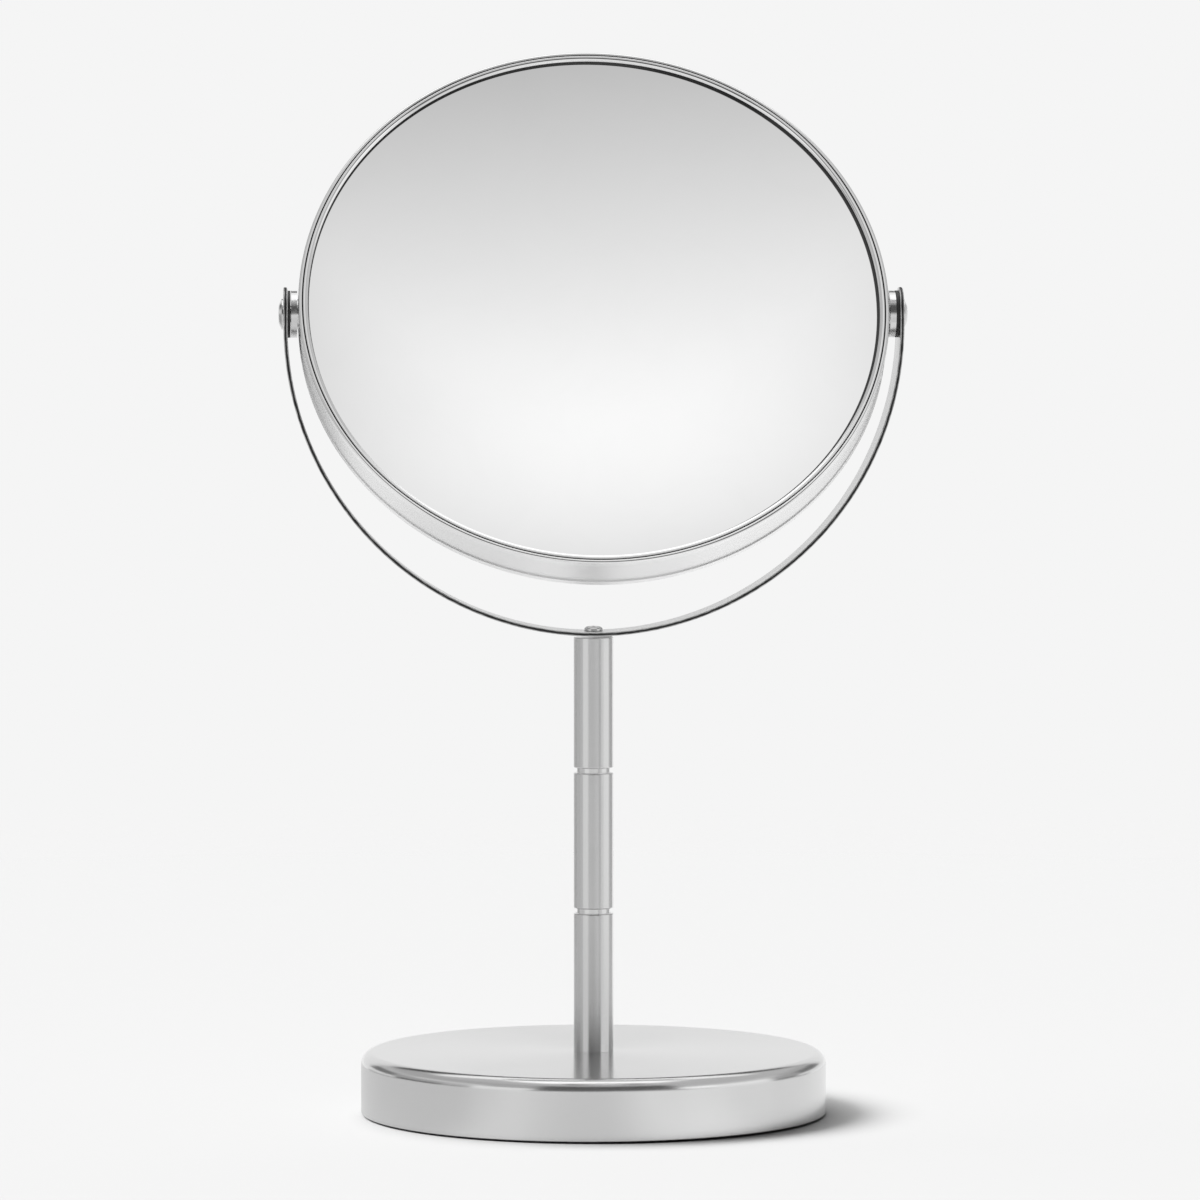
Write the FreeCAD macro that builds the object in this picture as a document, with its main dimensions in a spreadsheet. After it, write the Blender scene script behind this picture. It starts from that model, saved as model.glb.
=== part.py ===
import FreeCAD, Part
import math
import os
import re

import Sketcher

# An extendable shaving mirror that stands on a table. A weighted round base carries a post
# of three tubes. Each upper tube stands on a thinner rod that slides in the tube below it.
# A strip bent into a half ring swivels on the post and holds a two-sided round mirror
# between two pivots, so that the mirror can be tilted and turned right over.
# Millimetres and degrees. +Z is up, +X is to the right of a person who stands on the -Y side
# and looks at the plain glass. The origin is the centre of the base, on the table.

RIB_COUNT = 6
TOLERANCE = 1e-4

DIMENSIONS = (
    # Base
    ("base_radius", 69.7, "outer radius of the base"),
    ("base_height", 18.7, "table to the top of the base"),
    ("shell_wall", 1.0, "sheet of the base shell"),
    ("shell_rim_edge", 0.25, "rounding of the shell's lower edge"),
    ("shell_lift", 0.5, "table to the lower edge of the shell"),
    ("shell_edge", 3.8, "outside radius of the shell's upper edge"),
    ("shell_hole", 5.15, "radius of the hole for the foot of the post"),
    ("spigot_play", 0.15, "radial play of the foot plug's spigot in that hole"),
    ("cover_radius", 68.6, "outer radius of the base cover"),
    ("cover_lift", 0.8, "table to the underside of the cover"),
    ("cover_thickness", 1.6, "thickness of the cover"),
    ("cover_hole", 9.0, "radius of the hole that a driver goes through"),
    ("pad_radius", 65.8, "outer radius of the foam pad"),
    ("pad_thickness", 1.4, "thickness of the foam pad"),
    ("pad_recess_radius", 66.0, "radius of the pad's recess in the cover"),
    ("weight_radius", 65.0, "outer radius of the iron weight"),
    ("weight_plate", 5.0, "thickness of the weight's plate"),
    ("weight_edge", 1.25, "rounding of the plate's upper edge"),
    ("hub_radius", 13.0, "radius of the weight's hub"),
    ("counterbore_radius", 7.6, "radius of the recess for the base screw's head"),
    ("counterbore_depth", 4.6, "depth of that recess"),
    ("bolt_clearance", 3.2, "radius of the holes that the base screw passes"),
    ("rib_reach", 60.0, "post axis to the outer end of a rib"),
    ("rib_width", 4.0, "width of a rib"),
    ("rib_height", 9.5, "weight's underside to the top of a rib"),
    ("bolt_radius", 3.0, "radius of the base screw's thread"),
    ("bolt_shank", 18.0, "length of the base screw under its head"),
    ("bolt_head_radius", 5.0, "radius of the base screw's head"),
    ("bolt_head_height", 3.0, "height of the base screw's head"),
    ("bolt_head_edge", 0.6, "rounding of the head's edge"),
    ("bolt_point", 0.6, "chamfer of the screw's tip"),
    ("bolt_socket_flats", 5.0, "hexagon socket, across flats"),
    ("bolt_socket_depth", 1.8, "depth of the hexagon socket"),
    ("bolt_washer_radius", 7.0, "outer radius of the base washer"),
    ("bolt_washer_thickness", 1.0, "thickness of the base washer"),
    # Post
    ("tube_radius", 6.0, "outer radius of the post's tubes"),
    ("tube_bore", 5.1, "inner radius of the post's tubes"),
    ("tube_edge", 0.4, "rounding of the tubes' ends"),
    ("lower_tube_length", 41.5, "length of the lower tube"),
    ("middle_tube_length", 40.7, "length of the middle tube"),
    ("upper_tube_length", 39.2, "length of the upper tube"),
    ("neck_radius", 5.0, "radius of the neck between two tubes"),
    ("neck_height", 1.5, "height of the neck between two tubes"),
    ("foot_plug_reach", 7.0, "length of the foot plug inside the tube"),
    ("rod_radius", 4.5, "radius of a sliding rod"),
    ("rod_reach", 33.4, "length of a rod below its neck"),
    ("rod_spigot", 6.5, "length of a rod that is fast in the tube above"),
    ("rod_end_radius", 3.0, "radius of a rod's end in the stop ring"),
    ("stop_ring_radius", 5.0, "outer radius of a stop ring"),
    ("stop_ring_height", 3.5, "height of a stop ring"),
    ("bush_bore", 4.55, "inner radius of a friction bush"),
    ("bush_height", 7.0, "height of a friction bush"),
    ("bush_drop", 0.3, "tube's end to the top of its bush"),
    ("top_plug_height", 10.0, "height of the plug in the upper tube"),
    ("swivel_washer_radius", 5.6, "outer radius of the washer under the yoke"),
    ("swivel_washer_thickness", 0.35, "thickness of that washer"),
    ("swivel_play", 0.15, "play above and below the yoke"),
    ("swivel_screw_radius", 2.0, "radius of the yoke screw's shank"),
    ("swivel_screw_depth", 8.0, "length of the yoke screw in the plug"),
    ("swivel_head_radius", 2.8, "radius of the yoke screw's head"),
    ("swivel_head_height", 1.3, "height of the yoke screw's head"),
    ("swivel_head_round", 1.1, "rounding of the yoke screw's head"),
    ("pin_play", 0.05, "radial play of a pin in its hole"),
    # Yoke
    ("pivot_height", 239.5, "table to the tilt axis"),
    ("yoke_radius", 91.2, "inner radius of the yoke's half ring"),
    ("yoke_thickness", 1.2, "thickness of the yoke's strip"),
    ("yoke_width", 16.0, "width of the yoke's strip"),
    ("yoke_edge", 0.2, "rounding of the strip's long edges"),
    ("yoke_tip_flat", 0.1, "flat that is left on top of the rounded ends"),
    # Mirror head, along its own axis from its middle plane
    ("rest_tilt", 31.0, "backward tilt of the mirror at rest, degrees"),
    ("drum_radius", 88.0, "outer radius of the bezels"),
    ("drum_half", 7.0, "middle plane to the crown of a bezel"),
    ("bezel_sheet", 0.4, "sheet of a bezel"),
    ("bezel_skirt", 2.1, "crown of a bezel to the end of its skirt"),
    ("bezel_outer_round", 1.3, "outside rounding of a bezel"),
    ("bezel_inner_round", 0.8, "inside rounding of a bezel"),
    ("band_wall", 0.8, "sheet of the drum band"),
    ("band_half", 5.4, "half the width of the drum band"),
    ("view_radius", 85.1, "radius of the glass that is in view"),
    ("glass_radius", 86.4, "outer radius of both glasses"),
    ("glass_depth", 1.65, "crown of a bezel to the glass"),
    ("plain_glass_thickness", 2.3, "thickness of the plain glass"),
    ("glass_edge", 0.3, "ground edge of the plain glass"),
    ("dished_glass_thickness", 2.0, "thickness of the magnifying glass"),
    ("dish_radius", 1000.0, "radius of the magnifying surface"),
    ("backing_radius", 83.0, "radius of the board behind the plain glass"),
    ("backing_thickness", 1.0, "thickness of that board"),
    ("spacer_outer", 83.3, "outer radius of the ring between the glasses"),
    ("spacer_inner", 78.5, "inner radius of the ring between the glasses"),
    ("spacer_foot", 2.75, "middle plane to the ring's rear face"),
    # Tilt pivots, outwards from the band
    ("collar_radius", 4.5, "outer radius of a pivot collar"),
    ("collar_height", 0.7, "height of a pivot collar"),
    ("pivot_washer_radius", 7.0, "outer radius of the pivot washers"),
    ("steel_washer_thickness", 1.8, "thickness of a steel pivot washer"),
    ("nylon_washer_thickness", 0.8, "thickness of a nylon pivot washer"),
    ("nylon_washer_seat", 91.1, "middle of the mirror to the outer face of a nylon washer"),
    ("shoulder_radius", 2.5, "radius of a pivot screw's shoulder"),
    ("pivot_thread_radius", 1.5, "radius of a pivot screw's thread"),
    ("pivot_tip", 84.2, "middle of the mirror to the tip of a pivot screw"),
    ("pivot_play", 0.15, "play between the yoke and a pivot screw's head"),
    ("pivot_head_radius", 4.6, "radius of a pivot screw's head"),
    ("pivot_head_height", 1.3, "height of a pivot screw's head"),
    ("pivot_head_rim", 0.35, "height of the head's upright rim"),
    ("pivot_crown_radius", 2.6, "radius at which the head's slope meets its flat top"),
    ("pivot_crown_round", 3.6, "rounding between the slope and the flat top"),
    ("cross_length", 3.0, "length of a cross recess"),
    ("cross_width", 0.7, "width of a cross recess"),
    ("cross_depth", 0.8, "depth of a cross recess"),
    ("nut_flats", 5.5, "pivot nut, across flats"),
    ("nut_height", 2.3, "height of a pivot nut"),
    ("nut_seat", 86.7, "middle of the mirror to the outer face of a pivot nut"),
)

doc = FreeCAD.newDocument("ShavingMirror")
sheet = doc.addObject("Spreadsheet::Sheet", "Dimensions")
for row, (alias, number, meaning) in enumerate(DIMENSIONS, start=1):
    sheet.set(f"A{row}", meaning)
    sheet.set(f"B{row}", str(number))
    sheet.setAlias(f"B{row}", alias)
doc.recompute()

ALIASES = {alias for alias, number, meaning in DIMENSIONS}
sub_parts = []


# Sizes

def bound(size):
    """The expression for a size that is written with the sheet's aliases."""
    return re.sub(r"[a-z_]+", lambda word: refer(word.group()), size)


def refer(word):
    return f"{sheet.Name}.{word}" if word in ALIASES else word


def number_of(alias):
    return float(sheet.get(alias))


# Sub-parts, sketches and features

def new_sub_part(label, kind="PartDesign::Body"):
    piece = doc.addObject(kind, label)
    piece.Label = label
    sub_parts.append(piece)
    return piece


def sketch_on(body, role, name):
    """A new sketch on one of the body's own origin planes."""
    plane = next(item for item in body.Origin.OriginFeatures if item.Role == role)
    sketch = body.newObject("Sketcher::SketchObject", f"{body.Label}_{name}")
    sketch.AttachmentSupport = [(plane, "")]
    sketch.MapMode = "FlatFace"
    return sketch


def constrain(sketch, name, size, *what):
    """Add one driving constraint whose value comes from the sheet."""
    index = sketch.addConstraint(Sketcher.Constraint(*what))
    sketch.renameConstraint(index, name)
    sketch.setExpression(f"Constraints.{name}", bound(size))


def draw_outline(sketch, corners):
    """A closed outline of straight lines through corners, each an (across, up) pair of sizes."""
    count = len(corners)
    start = [FreeCAD.Vector(math.cos(math.tau * n / count), math.sin(math.tau * n / count), 0)
             for n in range(count)]
    for n in range(count):
        sketch.addGeometry(Part.LineSegment(start[n], start[(n + 1) % count]), False)
    for n in range(count):
        sketch.addConstraint(Sketcher.Constraint("Coincident", n, 2, (n + 1) % count, 1))
    for n, (across, up) in enumerate(corners):
        constrain(sketch, f"across_{n}", across, "DistanceX", -1, 1, n, 1, start[n].x)
        constrain(sketch, f"up_{n}", up, "DistanceY", -1, 1, n, 1, start[n].y)


def draw_circle(sketch, radius):
    """A circle about the sketch's origin."""
    circle = Part.Circle(FreeCAD.Vector(0, 0, 0), FreeCAD.Vector(0, 0, 1), 1)
    sketch.addGeometry(circle, False)
    sketch.addConstraint(Sketcher.Constraint("Coincident", 0, 3, -1, 1))
    constrain(sketch, "radius", radius, "Radius", 0, 1)


def hexagon(flats):
    """Corners of a hexagon with two of them on the sketch's vertical axis."""
    half = f"({flats}) / 2"
    corner = f"({flats}) / sqrt(3)"
    return [("0", corner), (half, f"{corner} / 2"), (half, f"-{corner} / 2"),
            ("0", f"-{corner}"), (f"-{half}", f"-{corner} / 2"), (f"-{half}", f"{corner} / 2")]


def cross():
    """Corners of the cross recess of a screw."""
    far = "cross_length / 2"
    near = "cross_width / 2"
    quarter = [(far, near), (near, near), (near, far)]
    corners = []
    for across_sign, up_sign, turn in (("", "", 1), ("-", "", -1), ("-", "-", 1), ("", "-", -1)):
        corners += [(across_sign + across, up_sign + up) for across, up in quarter[::turn]]
    return corners


def turn_on_lathe(label, corners):
    """A body turned about its own Z axis from (radius, height) corners."""
    body = new_sub_part(label)
    sketch = sketch_on(body, "XZ_Plane", "section")
    draw_outline(sketch, corners)
    revolution = body.newObject("PartDesign::Revolution", f"{label}_turned")
    revolution.Profile = sketch
    revolution.ReferenceAxis = (sketch, ["V_Axis"])
    revolution.Angle = 360
    doc.recompute()
    return body


def ring(label, inner, outer, height, foot="0"):
    """A turned ring, or a disc where the inner radius is 0."""
    top = f"({foot}) + ({height})"
    return turn_on_lathe(label, [(inner, foot), (outer, foot), (outer, top), (inner, top)])


def ease(body, kind, size, circles):
    """Round or chamfer the circular edges given as (radius, height) pairs of numbers."""
    before = body.Tip
    names = [f"Edge{n}" for n, edge in enumerate(before.Shape.Edges, start=1)
             for radius, height in circles
             if edge.Curve.TypeId == "Part::GeomCircle"
             and abs(edge.Curve.Radius - radius) < TOLERANCE
             and abs(edge.Curve.Center.z - height) < TOLERANCE]
    if len(names) < len(circles):
        raise RuntimeError(f"{body.Label}: {len(names)} edges found for {circles}")
    feature = body.newObject(f"PartDesign::{kind}", f"{body.Label}_{kind.lower()}_{len(body.Group)}")
    feature.Base = (before, names)
    feature.setExpression("Radius" if kind == "Fillet" else "Size", bound(size))
    doc.recompute()


def cut(body, sketch, name, reverse=False, depth=None):
    """A pocket from the sketch, right through both ways where it has no depth."""
    before = body.Shape.Volume
    pocket = body.newObject("PartDesign::Pocket", f"{body.Label}_{name}")
    pocket.Profile = sketch
    pocket.Reversed = reverse
    if depth is None:
        pocket.Type = "ThroughAll"
        pocket.Midplane = True
    else:
        pocket.setExpression("Length", bound(depth))
    doc.recompute()
    if body.Shape.Volume > before - TOLERANCE:
        raise RuntimeError(f"{body.Label}: {name} cuts nothing")
    return pocket


def cross_recess(body, height):
    """A cross recess that goes down into a screw head whose top is at the given height."""
    sketch = sketch_on(body, "XY_Plane", "cross")
    draw_outline(sketch, cross())
    sketch.setExpression("AttachmentOffset.Base.z", bound(height))
    cut(body, sketch, "recess", depth="cross_depth")


def lift(piece, height):
    """Place a piece on the post's axis with its own origin at the given height."""
    piece.setExpression("Placement.Base.z", bound(height))


def turned_to(side):
    """The placement that points a piece's Z axis away from the mirror's middle."""
    return FreeCAD.Rotation(FreeCAD.Vector(0, 1, 0), 90 * side)


# Base

COVER_TOP = "cover_lift + cover_thickness"
WEIGHT_HEIGHT = f"base_height - shell_wall - ({COVER_TOP})"
WASHER_SEAT = f"{COVER_TOP} + counterbore_depth"


def make_base_pad():
    pad = ring("base_pad", "0", "pad_radius", "pad_thickness")
    ease(pad, "Fillet", "shell_lift / 2", [(number_of("pad_radius"), 0)])


def make_base_cover():
    recess = "pad_thickness - cover_lift"
    cover = turn_on_lathe("base_cover", [
        ("cover_hole", recess), ("pad_recess_radius", recess), ("pad_recess_radius", "0"),
        ("cover_radius", "0"), ("cover_radius", "cover_thickness"),
        ("cover_hole", "cover_thickness")])
    lift(cover, "cover_lift")


def make_base_weight():
    weight = turn_on_lathe("base_weight", [
        ("counterbore_radius", "0"), ("weight_radius", "0"), ("weight_radius", "weight_plate"),
        ("hub_radius", "weight_plate"), ("hub_radius", WEIGHT_HEIGHT),
        ("bolt_clearance", WEIGHT_HEIGHT), ("bolt_clearance", "counterbore_depth"),
        ("counterbore_radius", "counterbore_depth")])
    ease(weight, "Fillet", "weight_edge",
         [(number_of("weight_radius"), number_of("weight_plate"))])
    sketch = sketch_on(weight, "XY_Plane", "rib_outline")
    inner = "hub_radius - rib_width / 2"
    draw_outline(sketch, [(inner, "-rib_width / 2"), ("rib_reach", "-rib_width / 2"),
                          ("rib_reach", "rib_width / 2"), (inner, "rib_width / 2")])
    rib = weight.newObject("PartDesign::Pad", "base_weight_rib")
    rib.Profile = sketch
    rib.setExpression("Length", bound("rib_height"))
    doc.recompute()
    ribs = weight.newObject("PartDesign::PolarPattern", "base_weight_ribs")
    ribs.Originals = [rib]
    ribs.Axis = (sketch, ["N_Axis"])
    ribs.Angle = 360
    ribs.Occurrences = RIB_COUNT
    weight.Tip = ribs
    lift(weight, COVER_TOP)


def make_base_shell():
    top = "base_height - shell_lift"
    under = f"{top} - shell_wall"
    inner = "base_radius - shell_wall"
    shell = turn_on_lathe("base_shell", [
        ("base_radius", "0"), ("base_radius", top), ("shell_hole", top),
        ("shell_hole", under), (inner, under), (inner, "0")])
    height = number_of("base_height") - number_of("shell_lift")
    radius = number_of("base_radius")
    wall = number_of("shell_wall")
    ease(shell, "Fillet", "shell_edge", [(radius, height)])
    ease(shell, "Fillet", "shell_edge - shell_wall", [(radius - wall, height - wall)])
    ease(shell, "Fillet", "shell_rim_edge", [(radius, 0)])
    lift(shell, "shell_lift")


def make_base_fasteners():
    head = "bolt_head_height"
    tip = f"{head} + bolt_shank"
    screw = turn_on_lathe("base_screw", [
        ("0", "0"), ("bolt_head_radius", "0"), ("bolt_head_radius", head),
        ("bolt_radius", head), ("bolt_radius", tip), ("0", tip)])
    tip_height = number_of("bolt_head_height") + number_of("bolt_shank")
    ease(screw, "Chamfer", "bolt_point", [(number_of("bolt_radius"), tip_height)])
    ease(screw, "Fillet", "bolt_head_edge", [(number_of("bolt_head_radius"), 0)])
    socket = sketch_on(screw, "XY_Plane", "socket")
    draw_outline(socket, hexagon("bolt_socket_flats"))
    cut(screw, socket, "hexagon", reverse=True, depth="bolt_socket_depth")
    lift(screw, f"{WASHER_SEAT} - bolt_washer_thickness - {head}")
    washer = ring("base_washer", "bolt_clearance", "bolt_washer_radius", "bolt_washer_thickness")
    lift(washer, f"{WASHER_SEAT} - bolt_washer_thickness")


# Post

TUBE_LENGTHS = {"lower": "lower_tube_length", "middle": "middle_tube_length",
                "upper": "upper_tube_length"}
TUBE_FOOT = {"lower": "base_height"}
TUBE_FOOT["middle"] = f"{TUBE_FOOT['lower']} + lower_tube_length + neck_height"
TUBE_FOOT["upper"] = f"{TUBE_FOOT['middle']} + middle_tube_length + neck_height"
POST_TOP = f"{TUBE_FOOT['upper']} + upper_tube_length"
YOKE_UNDERSIDE = f"{POST_TOP} + swivel_washer_thickness + swivel_play"


def make_tube(place):
    length = TUBE_LENGTHS[place]
    tube = ring(f"{place}_tube", "tube_bore", "tube_radius", length)
    radius = number_of("tube_radius")
    ease(tube, "Fillet", "tube_edge", [(radius, 0), (radius, number_of(length))])
    lift(tube, TUBE_FOOT[place])


def make_foot_plug():
    """The plug that the base screw pulls down, with its spigot through the shell."""
    top = "shell_wall + foot_plug_reach"
    spigot = "shell_hole - spigot_play"
    plug = turn_on_lathe("post_foot_plug", [
        ("bolt_radius", "0"), (spigot, "0"), (spigot, "shell_wall"),
        ("tube_bore", "shell_wall"), ("tube_bore", top), ("bolt_radius", top)])
    lift(plug, "base_height - shell_wall")


def make_slide(place, tube_below):
    """The bush in one tube, and the rod and stop ring that slide in it."""
    tube_end = f"{TUBE_FOOT[tube_below]} + {TUBE_LENGTHS[tube_below]}"
    bush = ring(f"{place}_friction_bush", "bush_bore", "tube_bore", "bush_height")
    ease(bush, "Chamfer", "tube_edge / 2",
         [(number_of("bush_bore"), 0), (number_of("bush_bore"), number_of("bush_height"))])
    lift(bush, f"{tube_end} - bush_drop - bush_height")
    neck_top = "rod_reach + neck_height"
    rod_top = f"{neck_top} + rod_spigot"
    rod = turn_on_lathe(f"{place}_extension_rod", [
        ("0", "0"), ("rod_end_radius", "0"), ("rod_end_radius", "stop_ring_height"),
        ("rod_radius", "stop_ring_height"), ("rod_radius", "rod_reach"),
        ("neck_radius", "rod_reach"), ("neck_radius", neck_top), ("tube_bore", neck_top),
        ("tube_bore", rod_top), ("0", rod_top)])
    lift(rod, f"{tube_end} - rod_reach")
    stop = ring(f"{place}_stop_ring", "rod_end_radius", "stop_ring_radius", "stop_ring_height")
    radius = number_of("stop_ring_radius")
    ease(stop, "Chamfer", "tube_edge", [(radius, 0), (radius, number_of("stop_ring_height"))])
    lift(stop, f"{tube_end} - rod_reach")


def make_domed_screw(label, corners, crown_radius, head_top, rounding):
    """A turned screw with a rounded crown and a cross recess, drawn from its tip up."""
    screw = turn_on_lathe(label, corners)
    top = max(vertex.Z for vertex in screw.Shape.Vertexes)
    ease(screw, "Fillet", rounding, [(number_of(crown_radius), top)])
    cross_recess(screw, head_top)
    return screw


def make_swivel():
    """What holds the yoke on the post: a plug, a washer and a screw with a shank."""
    plug = ring("post_top_plug", "swivel_screw_radius", "tube_bore", "top_plug_height")
    lift(plug, f"{POST_TOP} - top_plug_height")
    washer = ring("yoke_friction_washer", "swivel_screw_radius", "swivel_washer_radius",
                  "swivel_washer_thickness")
    lift(washer, POST_TOP)
    under_head = ("swivel_screw_depth + swivel_washer_thickness + yoke_thickness"
                  " + swivel_play * 2")
    top = f"{under_head} + swivel_head_height"
    screw = make_domed_screw("yoke_screw", [
        ("0", "0"), ("swivel_screw_radius", "0"), ("swivel_screw_radius", under_head),
        ("swivel_head_radius", under_head), ("swivel_head_radius", top), ("0", top)],
        "swivel_head_radius", top, "swivel_head_round")
    lift(screw, f"{POST_TOP} - swivel_screw_depth")


# Yoke, drawn from the tilt axis

YOKE_OUTER = "yoke_radius + yoke_thickness"
YOKE_LEG = f"pivot_height - ({YOKE_UNDERSIDE}) - ({YOKE_OUTER})"


def draw_yoke(sketch):
    """Two half circles joined to two straight legs, as one closed strip."""
    centre = FreeCAD.Vector(0, -1, 0)
    axis = FreeCAD.Vector(0, 0, 1)
    for radius in (9, 10):
        circle = Part.Circle(centre, axis, radius)
        sketch.addGeometry(Part.ArcOfCircle(circle, math.pi, math.tau), False)
    inner, outer = 0, 1
    corners = {-1: (1, 1), 1: (2, 2)}
    for side in (-1, 1):
        for radius in (9, 10):
            foot = FreeCAD.Vector(side * radius, -1, 0)
            sketch.addGeometry(Part.LineSegment(foot, foot + FreeCAD.Vector(0, 3, 0)), False)
        inner_leg = sketch.GeometryCount - 2
        outer_leg = inner_leg + 1
        ends = FreeCAD.Vector(side * 9, 2, 0), FreeCAD.Vector(side * 10, 2, 0)
        tip = sketch.addGeometry(Part.LineSegment(*ends), False)
        arc_end = corners[side][0]
        sketch.addConstraint([
            Sketcher.Constraint("Tangent", inner, arc_end, inner_leg, 1),
            Sketcher.Constraint("Tangent", outer, arc_end, outer_leg, 1),
            Sketcher.Constraint("Coincident", inner_leg, 2, tip, 1),
            Sketcher.Constraint("Coincident", outer_leg, 2, tip, 2),
            Sketcher.Constraint("Vertical", inner_leg),
            Sketcher.Constraint("Vertical", outer_leg),
            Sketcher.Constraint("Horizontal", tip)])
        name = "left" if side < 0 else "right"
        constrain(sketch, f"{name}_tip", "yoke_width / 2", "DistanceY", -1, 1, tip, 1, 2)
    sketch.addConstraint(Sketcher.Constraint("Coincident", inner, 3, outer, 3))
    sketch.addConstraint(Sketcher.Constraint("PointOnObject", inner, 3, -2))
    constrain(sketch, "leg", f"-({YOKE_LEG})", "DistanceY", -1, 1, inner, 3, -1)
    constrain(sketch, "inner_radius", "yoke_radius", "Radius", inner, 9)
    constrain(sketch, "outer_radius", YOKE_OUTER, "Radius", outer, 10)


def make_yoke():
    yoke = new_sub_part("yoke_strip")
    outline = sketch_on(yoke, "XZ_Plane", "outline")
    draw_yoke(outline)
    strip = yoke.newObject("PartDesign::Pad", "yoke_strip_bent")
    strip.Profile = outline
    strip.Midplane = True
    strip.setExpression("Length", bound("yoke_width"))
    doc.recompute()
    round_yoke_ends(yoke, strip)
    pivot_holes = sketch_on(yoke, "YZ_Plane", "pivot_holes")
    draw_circle(pivot_holes, "shoulder_radius + pin_play")
    cut(yoke, pivot_holes, "pivot_bores")
    screw_hole = sketch_on(yoke, "XY_Plane", "screw_hole")
    draw_circle(screw_hole, "swivel_screw_radius + pin_play")
    cut(yoke, screw_hole, "screw_bore")
    ease_yoke_edges(yoke)
    lift(yoke, "pivot_height")


def round_yoke_ends(yoke, strip):
    tip = number_of("yoke_width") / 2
    names = [f"Edge{n}" for n, edge in enumerate(strip.Shape.Edges, start=1)
             if edge.BoundBox.ZMin > tip - TOLERANCE and edge.BoundBox.YLength < TOLERANCE]
    ends = yoke.newObject("PartDesign::Fillet", "yoke_strip_ends")
    ends.Base = (strip, names)
    ends.setExpression("Radius", bound("(yoke_width - yoke_tip_flat) / 2"))
    doc.recompute()


def ease_yoke_edges(yoke):
    """Take the sharpness off the strip's long edges."""
    before = yoke.Tip
    half = number_of("yoke_width") / 2
    names = [f"Edge{n}" for n, edge in enumerate(before.Shape.Edges, start=1)
             if abs(abs(edge.CenterOfMass.y) - half) < TOLERANCE
             and edge.BoundBox.YLength < TOLERANCE and edge.Length > half / 4]
    edges = yoke.newObject("PartDesign::Fillet", "yoke_strip_edges")
    edges.Base = (before, names)
    edges.setExpression("Radius", bound("yoke_edge"))
    doc.recompute()


# Mirror head, drawn with +Z along the plain glass's normal

def head_placement():
    """Stand the mirror on its edge, leaning back by the rest tilt."""
    upright = FreeCAD.Rotation(FreeCAD.Vector(1, 0, 0), 90 - number_of("rest_tilt"))
    return FreeCAD.Placement(FreeCAD.Vector(0, 0, number_of("pivot_height")), upright)


def make_band():
    outer = "drum_radius - bezel_sheet"
    band = ring("drum_band", f"{outer} - band_wall", outer, "band_half * 2", "-band_half")
    holes = sketch_on(band, "YZ_Plane", "pivot_holes")
    draw_circle(holes, "pivot_thread_radius + pin_play * 2")
    cut(band, holes, "pivot_bores")
    band.Placement = head_placement()


def make_bezel(label, facing):
    """A thin rolled ring with a rounded crown. Facing is 1 for the plain side, -1 for the other."""
    inner = "view_radius + bezel_sheet"
    outer = "drum_radius - bezel_sheet"
    crown = "drum_half"
    roof = "drum_half - bezel_sheet"
    lip = "drum_half - glass_depth"
    skirt = "drum_half - bezel_skirt"
    bezel = turn_on_lathe(label, [
        ("drum_radius", skirt), ("drum_radius", crown), ("view_radius", crown),
        ("view_radius", lip), (inner, lip), (inner, roof), (outer, roof), (outer, skirt)])
    top = number_of("drum_half")
    sheet_thickness = number_of("bezel_sheet")
    ease(bezel, "Fillet", "bezel_outer_round",
         [(number_of("drum_radius"), top), (number_of("view_radius"), top)])
    ease(bezel, "Fillet", "bezel_inner_round",
         [(number_of("drum_radius") - sheet_thickness, top - sheet_thickness),
          (number_of("view_radius") + sheet_thickness, top - sheet_thickness)])
    bezel.Placement = head_placement() * faced(facing)


def faced(facing):
    """Turn a piece of the head over, about the tilt axis, where it faces the other way."""
    turn = FreeCAD.Rotation(FreeCAD.Vector(1, 0, 0), 0 if facing > 0 else 180)
    return FreeCAD.Placement(FreeCAD.Vector(0, 0, 0), turn)


def make_plain_glass():
    face = "drum_half - glass_depth"
    glass = ring("front_mirror", "0", "glass_radius", "plain_glass_thickness",
                 f"{face} - plain_glass_thickness")
    radius = number_of("glass_radius")
    top = number_of("drum_half") - number_of("glass_depth")
    ease(glass, "Chamfer", "glass_edge",
         [(radius, top), (radius, top - number_of("plain_glass_thickness"))])
    glass.Placement = head_placement()


def make_dished_glass():
    """A round cut from a thick ball shell, hollow towards the rear."""
    contact = "view_radius + bezel_sheet"
    centre = f"-(drum_half - glass_depth) - sqrt(dish_radius ^ 2 - ({contact}) ^ 2)"
    balls = []
    for name, radius in (("dish_back", "dish_radius + dished_glass_thickness"),
                         ("dish_face", "dish_radius")):
        ball = doc.addObject("Part::Sphere", name)
        ball.setExpression("Radius", bound(radius))
        lift(ball, centre)
        balls.append(ball)
    shell = doc.addObject("Part::Cut", "dish_shell")
    shell.Base, shell.Tool = balls
    blank = doc.addObject("Part::Cylinder", "dish_blank")
    blank.setExpression("Radius", bound("glass_radius"))
    blank.setExpression("Height", bound("drum_half * 2"))
    lift(blank, "-drum_half")
    glass = new_sub_part("rear_mirror", "Part::Common")
    glass.Base = shell
    glass.Tool = blank
    doc.recompute()
    glass.Placement = head_placement()


def make_glass_supports():
    back = "drum_half - glass_depth - plain_glass_thickness"
    board = ring("backing_board", "0", "backing_radius", "backing_thickness",
                 f"{back} - backing_thickness")
    spacer = ring("spacer_ring", "spacer_inner", "spacer_outer",
                  f"{back} - backing_thickness + spacer_foot", "-spacer_foot")
    board.Placement = head_placement()
    spacer.Placement = head_placement()


# Tilt pivots

BAND_OUTER = "drum_radius - bezel_sheet"
SHOULDER_END = f"{BAND_OUTER} + collar_height + steel_washer_thickness"


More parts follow.
